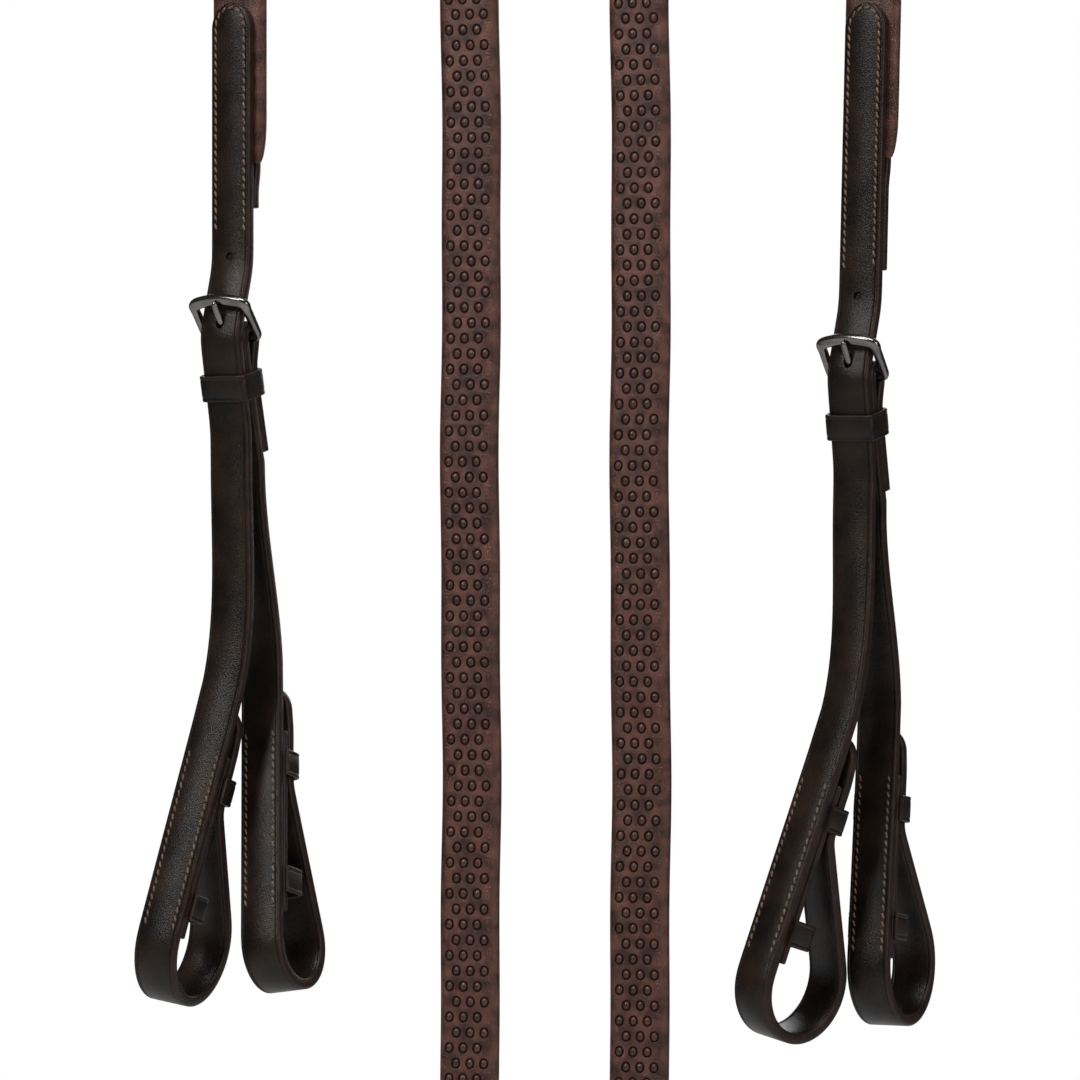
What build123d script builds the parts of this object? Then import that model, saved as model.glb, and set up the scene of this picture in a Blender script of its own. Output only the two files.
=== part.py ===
"""Pair of leather reins with rubber grips, hung in an M over two saddle brackets.

Each half is one long leather strap inside a rubber grip. Its bit end is a front strap sewn over
the end of the grip, with a rear strap buckled on behind it, and each strap ends in a loop that
is closed by a keeper and a hook stud. A centre buckle joins the two halves at the bottom.
Millimetres, +Z up, the front faces -Y. The origin lies midway between the two arch centres.
"""

import os
from math import acos, atan2, cos, radians, sin
from typing import NamedTuple

from build123d import *

# Leather and rubber
STRAP_WIDTH = 16.0
BILLET_THICK = 4.0
REIN_THICK = 3.5
BACKING_THICK = 3.0
GRIP_WIDTH = 21.5
GRIP_THICK = 6.0

# Hanging shape
ARCH_CENTRE_X = 71.7
ARCH_RADIUS = 41.4
TWIST_END_Z = -95.0
MIDDLE_YAW = 12.0
GRIP_END_Z = -549.0
HAND_TWIST_TOP_Z = -600.0
HAND_TWIST_END_Z = -700.0
CENTRE_BUCKLE_Z = -775.0
TWIST_STEPS = 8

# Bit end, measured down from the branch buckle's bar
BAR_FORWARD = 4.7
FOLD_EYE_LENGTH = 10.0
FOLD_LEAN = 15.0
FOLD_LENGTH = 40.0
END_FLEX_DROP = -33.0
LEG_FLEX_DROP = 45.0
KEEPER_DROP = 17.0
FRONT_AT_FLEX = 3.2
REAR_AT_FLEX = -7.4
TIP_LENGTH = 9.0
BEND_RADIUS = 6.0

# Flex joints: a rounded strap end turns in front of a square one
FLEX_GAP = 0.4

# Buckles
BAR_RADIUS = 1.75
BAR_CLEARANCE = 0.1
FRAME_LEAN = 40.0
FRAME_WIDTH = 24.4
FRAME_THICK = 3.0
FRAME_SIDE = 3.0
FRAME_TOP_INNER = 12.4
FRAME_TOP_OUTER = 17.0
FRAME_BOW = 2.0
FRAME_FOOT = 2.4
TONGUE_RADIUS = 1.2
TONGUE_HEIGHT = 3.1
TONGUE_LENGTH = 17.2
TONGUE_EYE_RADIUS = 4.2
TONGUE_EYE_WIDTH = 3.6
TONGUE_HOLE_WIDTH = 4.0
TONGUE_HOLE_LENGTH = 6.0

# Keepers
KEEPER_HEIGHT = 9.4
KEEPER_WALL = 1.4
KEEPER_SLACK = 0.3
BRANCH_KEEPER_DEPTH = 12.8
BRANCH_KEEPER_LEAN = 13.5
BRANCH_KEEPER_FORWARD = 0.5
CENTRE_KEEPER_DEPTH = 11.6
CENTRE_KEEPER_FORWARD = 2.2

# Front strap over the branch buckle: forward places of its front face, and drops from the bar
FRONT_PEAK = 10.1
FRONT_PEAK_HALF = 1.0
FRONT_LEAD_DROP = -26.0
FRONT_REST = 3.4
FRONT_REST_DROP = 33.0

# Where the rein strap steps forward to fill the end of the grip, below the grip's own end
CORE_STEP_TOP = 3.0
CORE_STEP_FOOT = 9.0

# Bit loops, measured down from the top of the leg's straight stretch
STITCH_TOP = 18.0
STITCH_LENGTH = 66.0
UPPER_KEEPER = 30.0
LOWER_KEEPER = 72.5
UPPER_KEEPER_DEPTH = 5.4
LOWER_KEEPER_DEPTH = 7.5
STUD_DROP = 57.5
RETURN_TIP = 0.0
RETURN_GAP = 0.4
LEG_STEPS = 6

# Hook stud
STUD_WIDTH = 5.0
STUD_POST = 3.0
STUD_REACH = 5.4
STUD_HEAD = 7.0
STUD_HEAD_THICK = 1.8

# Centre billet: forward places of its front face, and drops from the centre buckle's bar
BILLET_LEAD = -1.2
BILLET_LEAD_DROP = -28.0
BILLET_PEAK = 9.6
BILLET_PEAK_HALF = 4.0
BILLET_REST = 7.4
BILLET_REST_DROP = 12.0
BILLET_TURN_DROP = -30.0
BILLET_TIP_DROP = 46.0

# Adjusting holes
HOLE_RADIUS = 2.0
FRONT_HOLE_DROP = -28.6
BILLET_HOLE_DROPS = (9.0, 30.0)


class Leg(NamedTuple):
    """One bit strap below its flex joint: where its straight stretch starts and how it hangs."""

    name: str
    forward: float
    sideways: float
    drop: float
    yaw: float
    roll: float
    lean: float
    run_on: float
    turn_radius: float


class End(NamedTuple):
    """One half of the reins: its bit end's place and the straps that hang from it."""

    side: str
    sign: int
    top_x: float
    yaw: float
    roll: float
    bar_drop: float
    tip_drop: float
    core_drop: float
    grip_drop: float
    legs: tuple


ENDS = (
    End("left", -1, -112.6, 28.0, 0.0, 140.7, -119.0, -46.0, -62.0, (
        Leg("front", 6.5, -1.2, 129.5, 22.0, -9.0, 14.5, 0.5, 19.5),
        Leg("rear", -18.5, 1.0, 123.0, 28.0, 9.0, 15.0, 9.0, 15.0),
    )),
    End("right", 1, 114.1, 31.0, -1.5, 154.6, -133.0, -38.0, -78.0, (
        Leg("front", 8.5, -2.4, 126.0, 45.0, -9.0, 17.0, 5.0, 19.0),
        Leg("rear", -21.3, 1.0, 124.5, 28.5, 1.0, 8.5, 1.0, 20.5),
    )),
)

DOWN = Vector(0, 0, -1)


def axes(yaw, roll=0.0, lean=0.0):
    """Unit vectors of a strap: forward (out of its front face), across it, and down it."""
    forward = Vector(-sin(radians(yaw)), -cos(radians(yaw)), 0)
    across = Vector(cos(radians(yaw)), -sin(radians(yaw)), 0)
    down = DOWN * cos(radians(lean)) + forward * sin(radians(lean))
    forward = forward * cos(radians(lean)) - DOWN * sin(radians(lean))
    tilted = across * cos(radians(roll)) - down * sin(radians(roll))
    down = down * cos(radians(roll)) + across * sin(radians(roll))
    return forward, tilted, down


def side_plane(origin, forward, across):
    """Plane of a strap's side profile: x runs forward, y down the strap, z across it."""
    return Plane(origin=origin, x_dir=forward, z_dir=across)


def end_bar(end):
    """Side plane of a bit end, with its origin on the branch buckle's bar."""
    forward, across, down = axes(end.yaw, end.roll)
    top = Vector(end.top_x, 0, TWIST_END_Z)
    return side_plane(top + down * end.bar_drop + forward * BAR_FORWARD, forward, across)


def centre_bar():
    """Side plane of the centre buckle, whose frame points down, so that its y runs upwards."""
    bar_x = -ARCH_CENTRE_X + ARCH_RADIUS + REIN_THICK / 2
    return side_plane(Vector(bar_x, 0, CENTRE_BUCKLE_Z), Vector(-1, 0, 0), Vector(0, 1, 0))


def leg_plane(end, leg):
    """Side plane of a bit loop, with its origin at the top of the leg's straight stretch."""
    forward, across, down = axes(leg.yaw, leg.roll, leg.lean)
    face = end_bar(end)
    start = (face.origin + face.x_dir * (leg.forward - BAR_FORWARD + GRIP_THICK / 2 + BILLET_THICK)
             + face.y_dir * leg.drop + face.z_dir * leg.sideways)
    return side_plane(start - forward * (BILLET_THICK / 2), forward, across)


def keep(piece, name):
    """Label a finished piece and write its STEP file."""
    piece.part.label = name
    export_step(piece.part, f"parts/{name}.step")


def turned_section(x, z, yaw):
    """Plane across a hanging strap at height z, for a section with x across and y forward."""
    forward, across, down = axes(yaw)
    return Plane(origin=Vector(x, 0, z), x_dir=across, z_dir=down)


def eased(share):
    """Share of a change that is done, slow at both ends."""
    return share * share * (3 - 2 * share)


def twist(width, thick, top, bottom):
    """Strap that turns about its length; top and bottom are each (x, z, yaw)."""
    with BuildPart() as piece:
        for step in range(TWIST_STEPS + 1):
            share = step / TWIST_STEPS
            x = top[0] + (bottom[0] - top[0]) * eased(share)
            z = top[1] + (bottom[1] - top[1]) * share
            with BuildSketch(turned_section(x, z, top[2] + (bottom[2] - top[2]) * eased(share))):
                Rectangle(width, thick)
        loft(ruled=True)
    return piece.part


def straight_run(width, thick, x, yaw, top_z, bottom_z):
    """Strap that hangs straight down."""
    with BuildPart() as piece:
        with BuildSketch(turned_section(x, top_z, yaw)):
            Rectangle(width, thick)
        extrude(amount=top_z - bottom_z)
    return piece.part


def arch(sign, width, thick):
    """Half turn of the strap over a bracket."""
    with BuildPart() as piece:
        with BuildSketch(Plane.XY):
            with Locations((sign * ARCH_CENTRE_X + ARCH_RADIUS, 0)):
                Rectangle(thick, width)
        revolve(axis=Axis((sign * ARCH_CENTRE_X, 0, 0), (0, -1, 0)), revolution_arc=180)
    return piece.part


def grip_route(end, width, thick, grip_bottom_z):
    """The stretch that the rubber covers: down the bit side, over the arch, down the middle."""
    outer_x = end.sign * (ARCH_CENTRE_X + ARCH_RADIUS)
    middle_x = end.sign * (ARCH_CENTRE_X - ARCH_RADIUS)
    with BuildPart() as piece:
        add(twist(width, thick, (outer_x, 0, -90 * end.sign), (end.top_x, TWIST_END_Z, end.yaw)))
        add(arch(end.sign, width, thick))
        add(twist(width, thick, (middle_x, 0, 90 * end.sign), (middle_x, TWIST_END_Z, MIDDLE_YAW)))
        add(straight_run(width, thick, middle_x, MIDDLE_YAW, TWIST_END_Z, grip_bottom_z))
    return piece.part


def parallel(points, thick):
    """Back face of a strap whose front face follows the points down its side profile."""
    ways = [(Vector(*after) - Vector(*before)).normalized()
            for before, after in zip(points, points[1:])]
    ways = [ways[0], *ways, ways[-1]]
    shifted = []
    for point, before, after in zip(points, ways, ways[1:]):
        outward = Vector(-before.Y - after.Y, before.X + after.X).normalized()
        reach = thick / outward.dot(Vector(-after.Y, after.X))
        shifted.append((point[0] + outward.X * reach, point[1] + outward.Y * reach))
    return shifted


def rounded_line(points, radius):
    """Polyline with its corners rounded, or a plain line between two points."""
    if len(points) == 2:
        return Line(*points)
    return FilletPolyline(*points, radius=radius)


def profile(plane, points, thick, width=STRAP_WIDTH):
    """Strap bent in one plane: its front face follows the points, with rounded corners."""
    behind = parallel(points, thick)
    with BuildPart() as piece:
        with BuildSketch(plane):
            with BuildLine():
                rounded_line(points, BEND_RADIUS)
                Line(points[-1], behind[-1])
                rounded_line(behind[::-1], BEND_RADIUS)
                Line(behind[0], points[0])
            make_face()
        extrude(amount=width / 2, both=True)
    return piece.part


def rounded_end(plane, forward, drop, thick):
    """Half-round strap end that turns about its own axis at a flex joint."""
    with BuildPart() as piece:
        with BuildSketch(plane):
            with Locations((forward, drop)):
                Circle(thick / 2)
        extrude(amount=STRAP_WIDTH / 2, both=True)
    return piece.part


def bar_hole(plane):
    """Round eye for a buckle bar, with running clearance."""
    with BuildPart() as piece:
        with BuildSketch(plane):
            Circle(BAR_RADIUS + BAR_CLEARANCE)
        extrude(amount=STRAP_WIDTH, both=True)
    return piece.part


def tongue_slot(plane):
    """Slot in a folded strap end that leaves room for the buckle's tongue."""
    with BuildPart() as piece:
        with BuildSketch(plane):
            with Locations((TONGUE_EYE_RADIUS, -TONGUE_EYE_RADIUS / 2)):
                Rectangle(4 * TONGUE_EYE_RADIUS, 3 * TONGUE_EYE_RADIUS)
        extrude(amount=TONGUE_EYE_WIDTH / 2 + 1, both=True)
    return piece.part


def folded_end(plane, thick, strap_end):
    """Strap end folded round a buckle bar and sewn down behind itself; strap_end is (x, y)."""
    eye = BAR_RADIUS + BAR_CLEARANCE + thick
    lean = radians(FOLD_LEAN if thick == BILLET_THICK else 0)
    fold_x = -(FOLD_LENGTH - FOLD_EYE_LENGTH) * sin(lean)
    outline = [
        (thick, FOLD_EYE_LENGTH),
        (fold_x + thick, FOLD_LENGTH),
        (strap_end[0] + thick / 2, strap_end[1]),
        (strap_end[0] - thick / 2, strap_end[1]),
        (fold_x, FOLD_LENGTH),
        (fold_x - thick, FOLD_LENGTH),
        (-thick, FOLD_EYE_LENGTH),
        (-eye, 0),
    ]
    with BuildPart() as piece:
        with BuildSketch(plane):
            with BuildLine():
                Polyline((eye, 0), *outline)
                ThreePointArc((-eye, 0), (0, -eye), (eye, 0))
            make_face()
        extrude(amount=STRAP_WIDTH / 2, both=True)
        add(bar_hole(plane), mode=Mode.SUBTRACT)
        add(tongue_slot(plane), mode=Mode.SUBTRACT)
    return piece.part


def frame_plane(bar):
    """Plane of a buckle frame, which leans forward from its bar: x across, y along the tongue."""
    lean = radians(FRAME_LEAN)
    front = bar.x_dir * cos(lean) + bar.y_dir * sin(lean)
    return Plane(origin=bar.origin, x_dir=bar.z_dir, z_dir=front)


def buckle_frame(bar):
    """Flat frame with a bowed top bar, on a round bar."""
    half = FRAME_WIDTH / 2
    inner = half - FRAME_SIDE
    with BuildPart() as piece:
        with BuildSketch(frame_plane(bar)) as ring:
            with BuildLine():
                Polyline((-half, FRAME_TOP_OUTER), (-half, -FRAME_FOOT), (half, -FRAME_FOOT),
                         (half, FRAME_TOP_OUTER))
                ThreePointArc((half, FRAME_TOP_OUTER), (0, FRAME_TOP_OUTER + FRAME_BOW),
                              (-half, FRAME_TOP_OUTER))
            make_face()
            fillet(ring.vertices(), radius=FRAME_FOOT)
            with BuildLine():
                Polyline((-inner, FRAME_TOP_INNER), (-inner, -FRAME_FOOT), (inner, -FRAME_FOOT),
                         (inner, FRAME_TOP_INNER))
                ThreePointArc((inner, FRAME_TOP_INNER), (0, FRAME_TOP_INNER + FRAME_BOW),
                              (-inner, FRAME_TOP_INNER))
            make_face(mode=Mode.SUBTRACT)
        extrude(amount=FRAME_THICK / 2, both=True)
        with BuildSketch(bar):
            Circle(BAR_RADIUS)
        extrude(amount=inner + FRAME_SIDE / 2, both=True)
    return piece.part


def tongue(bar):
    """Straight tongue that turns on the bar and rests on the frame's top bar."""
    with BuildPart() as piece:
        with BuildSketch(bar):
            Circle(TONGUE_EYE_RADIUS)
            Circle(BAR_RADIUS + BAR_CLEARANCE, mode=Mode.SUBTRACT)
        extrude(amount=TONGUE_EYE_WIDTH / 2, both=True)
        frame = frame_plane(bar)
        foot = bar.origin + frame.z_dir * TONGUE_HEIGHT
        with BuildSketch(Plane(origin=foot, x_dir=frame.x_dir, z_dir=frame.y_dir)):
            Circle(TONGUE_RADIUS)
        extrude(amount=TONGUE_LENGTH)
    return piece.part


def tongue_hole(bar):
    """Oval hole along the tongue, through the strap that it holds."""
    frame = frame_plane(bar)
    middle = bar.origin + frame.z_dir * TONGUE_HEIGHT
    with BuildPart() as piece:
        with BuildSketch(Plane(origin=middle, x_dir=frame.x_dir, z_dir=frame.y_dir)):
            SlotOverall(TONGUE_HOLE_LENGTH, TONGUE_HOLE_WIDTH, rotation=90)
        extrude(amount=TONGUE_LENGTH)
    return piece.part


def punched_hole(plane, drop):
    """Round adjusting hole through a strap."""
    with BuildPart() as piece:
        with BuildSketch(Plane(origin=plane.origin + plane.y_dir * drop,
                               x_dir=plane.z_dir, z_dir=plane.x_dir)):
            Circle(HOLE_RADIUS)
        extrude(amount=4 * BILLET_THICK, both=True)
    return piece.part


def rounded_tip(plane, drop, tip_drop):
    """Trim a strap's end between the two drops to a half ellipse."""
    middle = Plane(origin=plane.origin + plane.y_dir * drop, x_dir=plane.z_dir,
                   z_dir=plane.x_dir)
    reach = tip_drop - drop
    with BuildPart() as piece:
        with BuildSketch(middle):
            with Locations((0, -reach)):
                Rectangle(2 * STRAP_WIDTH, 2 * abs(reach))
            Ellipse(STRAP_WIDTH / 2, abs(reach), mode=Mode.SUBTRACT)
        extrude(amount=4 * BILLET_THICK, both=True)
    return piece.part


def strap_loop(plane, inner_depth, lean, forward):
    """Band round two straps below a buckle, square to a direction that leans back by lean."""
    inner_width = STRAP_WIDTH + 2 * KEEPER_SLACK
    back = radians(lean)
    down = plane.y_dir * cos(back) - plane.x_dir * sin(back)
    front = plane.x_dir * cos(back) + plane.y_dir * sin(back)
    middle = plane.origin + plane.x_dir * forward + plane.y_dir * KEEPER_DROP
    with BuildPart() as piece:
        with BuildSketch(Plane(origin=middle, x_dir=front, z_dir=down)):
            RectangleRounded(inner_depth + 2 * KEEPER_WALL, inner_width + 2 * KEEPER_WALL, KEEPER_WALL)
            Rectangle(inner_depth, inner_width, mode=Mode.SUBTRACT)
        extrude(amount=KEEPER_HEIGHT / 2, both=True)
    return piece.part


def open_keeper(plane, depth, drop):
    """Sewn-in keeper behind a leg: two side walls and a back, open towards the strap."""
    front = -BILLET_THICK / 2
    back = front - BACKING_THICK - depth
    middle = plane.origin + plane.y_dir * drop
    width = STRAP_WIDTH + 2 * KEEPER_SLACK
    with BuildPart() as piece:
        with BuildSketch(Plane(origin=middle, x_dir=plane.x_dir, z_dir=plane.y_dir)):
            with Locations(((front + back - KEEPER_WALL) / 2, 0)):
                Rectangle(front - back + KEEPER_WALL, width + 2 * KEEPER_WALL)
            with Locations(((front + back) / 2, 0)):
                Rectangle(front - back, width, mode=Mode.SUBTRACT)
        extrude(amount=KEEPER_HEIGHT / 2, both=True)
    return piece.part


def hermite(start, start_way, finish, finish_way, share):
    """Point and direction on a smooth curve between two points with given directions."""
    span = (finish - start).length
    a = start_way * span
    b = finish_way * span
    s = share
    point = (start * (2 * s**3 - 3 * s**2 + 1) + a * (s**3 - 2 * s**2 + s)
             + finish * (3 * s**2 - 2 * s**3) + b * (s**3 - s**2))
    way = (start * (6 * s**2 - 6 * s) + a * (3 * s**2 - 4 * s + 1)
           + finish * (6 * s - 6 * s**2) + b * (3 * s**2 - 2 * s))
    return point, way.normalized()


def leg_drape(start, start_plane, finish_plane):
    """Strap from a flex joint to its straight stretch, turning on the way."""
    with BuildPart() as piece:
        for step in range(LEG_STEPS + 1):
            share = step / LEG_STEPS
            point, way = hermite(start, start_plane.y_dir, finish_plane.origin,
                                 finish_plane.y_dir, share)
            across = start_plane.z_dir * (1 - eased(share)) + finish_plane.z_dir * eased(share)
            across = (across - way * across.dot(way)).normalized()
            with BuildSketch(Plane(origin=point, x_dir=across, z_dir=way)):
                Rectangle(STRAP_WIDTH, BILLET_THICK)
        loft(ruled=True)
    return piece.part


def turn_geometry(leg):
    """Centre drop of the loop's turn, the angle it turns through and where it leaves."""
    radius = leg.turn_radius + BILLET_THICK / 2
    turn_drop = STITCH_TOP + STITCH_LENGTH + leg.run_on
    back = -BILLET_THICK / 2 - BACKING_THICK - RETURN_GAP - BILLET_THICK
    to_keeper = (back + leg.turn_radius, UPPER_KEEPER + KEEPER_HEIGHT / 2 - turn_drop)
    distance = (to_keeper[0] ** 2 + to_keeper[1] ** 2) ** 0.5
    angle = atan2(to_keeper[1], to_keeper[0]) % radians(360) - acos(radius / distance)
    return turn_drop, angle, back


def leg_loop(plane, leg):
    """Straight stitched stretch, round turn and return through the upper keeper."""
    half = BILLET_THICK / 2
    turn_drop, angle, back = turn_geometry(leg)
    keeper_foot = UPPER_KEEPER + KEEPER_HEIGHT / 2 + 2
    outer = turn_points(leg.turn_radius + half, leg.turn_radius, turn_drop, angle)
    inner = turn_points(leg.turn_radius - half, leg.turn_radius, turn_drop, angle)
    outer_return = [outer[2], (back, keeper_foot), (back, RETURN_TIP)]
    inner_return = parallel(outer_return, BILLET_THICK)
    with BuildPart() as piece:
        with BuildSketch(plane):
            with BuildLine():
                Line((half, 0), outer[0])
                ThreePointArc(*outer)
                FilletPolyline(*outer_return, radius=BEND_RADIUS)
                Line(outer_return[2], inner_return[2])
                FilletPolyline(inner_return[2], inner_return[1], inner[2], radius=BEND_RADIUS)
                ThreePointArc(*inner[::-1])
                Line(inner[0], (-half, 0))
                Line((-half, 0), (half, 0))
            make_face()
        extrude(amount=STRAP_WIDTH / 2, both=True)
    return piece.part


def turn_points(radius, centre_back, turn_drop, angle):
    """Start, middle and end of an arc that begins in front of its centre and passes below it."""
    return [(radius * cos(part) - centre_back, turn_drop + radius * sin(part))
            for part in (0, angle / 2, angle)]


def backing(plane):
    """Second layer sewn behind the straight stretch."""
    with BuildPart() as piece:
        with BuildSketch(plane):
            with Locations((-BILLET_THICK / 2 - BACKING_THICK / 2, STITCH_TOP + STITCH_LENGTH / 2)):
                Rectangle(BACKING_THICK, STITCH_LENGTH)
        extrude(amount=STRAP_WIDTH / 2, both=True)
    return piece.part


def hook_stud(plane):
    """Metal stud on the backing, whose head turns up towards the upper keeper."""
    foot = -BILLET_THICK / 2 - BACKING_THICK
    head = foot - STUD_REACH
    with BuildPart() as piece:
        with BuildSketch(plane):
            with BuildLine():
                FilletPolyline(
                    (foot, STUD_DROP + STUD_POST / 2),
                    (head, STUD_DROP + STUD_POST / 2),
                    (head, STUD_DROP + STUD_POST / 2 - STUD_HEAD),
                    (head + STUD_HEAD_THICK, STUD_DROP + STUD_POST / 2 - STUD_HEAD),
                    (head + STUD_HEAD_THICK, STUD_DROP - STUD_POST / 2),
                    (foot, STUD_DROP - STUD_POST / 2),
                    radius=STUD_HEAD_THICK / 2 - 0.05,
                )
                Line((foot, STUD_DROP - STUD_POST / 2), (foot, STUD_DROP + STUD_POST / 2))
            make_face()
        extrude(amount=STUD_WIDTH / 2, both=True)
    return piece.part


def hand_billet(plane, start_x):
    """Right hand strap from the end of its twist, round the bottom and through the buckle."""
    far = plane.origin.X - start_x - REIN_THICK / 2
    radius = (BILLET_LEAD - far) / 2
    middle = (BILLET_LEAD + far) / 2
    top = HAND_TWIST_END_Z - CENTRE_BUCKLE_Z
    low = BILLET_TURN_DROP
    weave = [(BILLET_LEAD, low), (BILLET_LEAD, BILLET_LEAD_DROP),
             (BILLET_PEAK, -BILLET_PEAK_HALF), (BILLET_PEAK, BILLET_PEAK_HALF),
             (BILLET_REST, BILLET_REST_DROP), (BILLET_REST, BILLET_TIP_DROP)]
    behind = parallel(weave, REIN_THICK)
    small = radius - REIN_THICK
    with BuildPart() as piece:
        with BuildSketch(plane):
            with BuildLine():
                Line((far, top), (far, low))
                ThreePointArc((far, low), (middle, low - radius), weave[0])
                FilletPolyline(*weave, radius=BEND_RADIUS)
                Line(weave[-1], behind[-1])
                FilletPolyline(*behind[::-1], radius=BEND_RADIUS)
                ThreePointArc(behind[0], (middle, low - small), (far + REIN_THICK, low))
                Line((far + REIN_THICK, low), (far + REIN_THICK, top))
                Line((far + REIN_THICK, top), (far, top))
            make_face()
        extrude(amount=STRAP_WIDTH / 2, both=True)
        add(rounded_tip(plane, BILLET_TIP_DROP - TIP_LENGTH, BILLET_TIP_DROP),
            mode=Mode.SUBTRACT)
        for drop in BILLET_HOLE_DROPS:
            add(punched_hole(plane, drop), mode=Mode.SUBTRACT)
    return piece.part


os.makedirs("parts", exist_ok=True)

grip_face = GRIP_THICK / 2 - BAR_FORWARD
billet_face = grip_face + BILLET_THICK
rein_face = REIN_THICK / 2 - BAR_FORWARD
joint_line = END_FLEX_DROP - BILLET_THICK / 2 - FLEX_GAP
leg_joint_line = LEG_FLEX_DROP - BILLET_THICK / 2 - FLEX_GAP

centre = centre_bar()

for end in ENDS:
    side = end.side
    bar = end_bar(end)
    middle_x = end.sign * (ARCH_CENTRE_X - ARCH_RADIUS)
    twist_drop = -end.bar_drop

    # Long leather strap: inside the rubber, and on as the hand part
    with BuildPart() as rein_strap:
        add(grip_route(end, STRAP_WIDTH, REIN_THICK, HAND_TWIST_TOP_Z))
        add(profile(bar, [(rein_face, twist_drop), (rein_face, end.grip_drop + CORE_STEP_TOP),
                          (grip_face, end.grip_drop + CORE_STEP_FOOT),
                          (grip_face, end.core_drop)],
                    REIN_THICK))
        add(twist(STRAP_WIDTH, REIN_THICK, (middle_x, HAND_TWIST_TOP_Z, MIDDLE_YAW),
                  (middle_x, HAND_TWIST_END_Z, -90 * end.sign)))
        if end.side == "left":
            add(folded_end(centre, REIN_THICK,
                           (REIN_THICK / 2, HAND_TWIST_END_Z - CENTRE_BUCKLE_Z)))
        else:
            add(hand_billet(centre, middle_x))
            add(tongue_hole(centre), mode=Mode.SUBTRACT)
    keep(rein_strap, f"{side}_rein_strap")

    # Rubber grip
    with BuildPart() as grip:
        add(grip_route(end, GRIP_WIDTH, GRIP_THICK, GRIP_END_Z))
        add(profile(bar, [(grip_face, twist_drop), (grip_face, end.grip_drop)],
                    GRIP_THICK, GRIP_WIDTH))
        add(rein_strap.part, mode=Mode.SUBTRACT)
    keep(grip, f"{side}_rubber_grip")

    # Front strap, in three lengths that meet at the flex joints
    with BuildPart() as front_top:
        add(profile(bar, [(billet_face, end.tip_drop), (billet_face, joint_line)],
                    BILLET_THICK))
        add(rounded_tip(bar, end.tip_drop + TIP_LENGTH, end.tip_drop), mode=Mode.SUBTRACT)
    keep(front_top, f"{side}_front_strap_top")

    with BuildPart() as front_middle:
        add(rounded_end(bar, billet_face - BILLET_THICK / 2, END_FLEX_DROP, BILLET_THICK))
        add(profile(bar, [(billet_face, END_FLEX_DROP), (billet_face, FRONT_LEAD_DROP),
                          (FRONT_PEAK, -FRONT_PEAK_HALF), (FRONT_PEAK, FRONT_PEAK_HALF),
                          (FRONT_REST, FRONT_REST_DROP), (FRONT_AT_FLEX, leg_joint_line)],
                    BILLET_THICK))
        add(tongue_hole(bar), mode=Mode.SUBTRACT)
        add(punched_hole(bar, FRONT_HOLE_DROP), mode=Mode.SUBTRACT)
    keep(front_middle, f"{side}_front_strap_middle")

    # Rear strap, folded round the branch buckle's bar
    with BuildPart() as rear_top:
        add(folded_end(bar, BILLET_THICK, (REAR_AT_FLEX, leg_joint_line)))
    keep(rear_top, f"{side}_rear_strap_top")

    # Branch buckle and its keeper
    with BuildPart() as branch_frame:
        add(buckle_frame(bar))
    keep(branch_frame, f"{side}_branch_buckle_frame")

    with BuildPart() as branch_tongue:
        add(tongue(bar))
    keep(branch_tongue, f"{side}_branch_buckle_tongue")

    with BuildPart() as branch_keeper:
        add(strap_loop(bar, BRANCH_KEEPER_DEPTH, BRANCH_KEEPER_LEAN, BRANCH_KEEPER_FORWARD))
    keep(branch_keeper, f"{side}_branch_keeper")

    # Bit legs
    for leg, at_flex in zip(end.legs, (FRONT_AT_FLEX - BILLET_THICK / 2, REAR_AT_FLEX)):
        plane = leg_plane(end, leg)
        name = f"{side}_{leg.name}"
        start = bar.origin + bar.x_dir * at_flex + bar.y_dir * LEG_FLEX_DROP

        with BuildPart() as strap:
            add(rounded_end(bar, at_flex, LEG_FLEX_DROP, BILLET_THICK))
            add(leg_drape(start, bar, plane))
            add(leg_loop(plane, leg))
        keep(strap, f"{name}_leg_strap")

        with BuildPart() as second_layer:
            add(backing(plane))
        keep(second_layer, f"{name}_leg_backing")

        for keeper_name, depth, drop in (("upper", UPPER_KEEPER_DEPTH, UPPER_KEEPER),
                                         ("lower", LOWER_KEEPER_DEPTH, LOWER_KEEPER)):
            with BuildPart() as keeper:
                add(open_keeper(plane, depth, drop))
            keep(keeper, f"{name}_{keeper_name}_keeper")

        with BuildPart() as stud:
            add(hook_stud(plane))
        keep(stud, f"{name}_hook_stud")

# Centre buckle
with BuildPart() as centre_frame:
    add(buckle_frame(centre))
keep(centre_frame, "centre_buckle_frame")

with BuildPart() as centre_tongue:
    add(tongue(centre))
keep(centre_tongue, "centre_buckle_tongue")

with BuildPart() as centre_keeper:
    add(strap_loop(centre, CENTRE_KEEPER_DEPTH, 0, CENTRE_KEEPER_FORWARD))
keep(centre_keeper, "centre_keeper")
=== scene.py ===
"""Leather reins with rubber grips: the visual model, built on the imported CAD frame.

Lengths are worked out in millimetres, as in the CAD source, and become metres in the meshes.
+Z is up and the front faces -Y. Every strap is a sweep along its CAD solid's route, with its
corners eased.
"""

from math import acos, atan2, ceil, cos, hypot, pi, radians, sin, sqrt
from typing import NamedTuple

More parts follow.
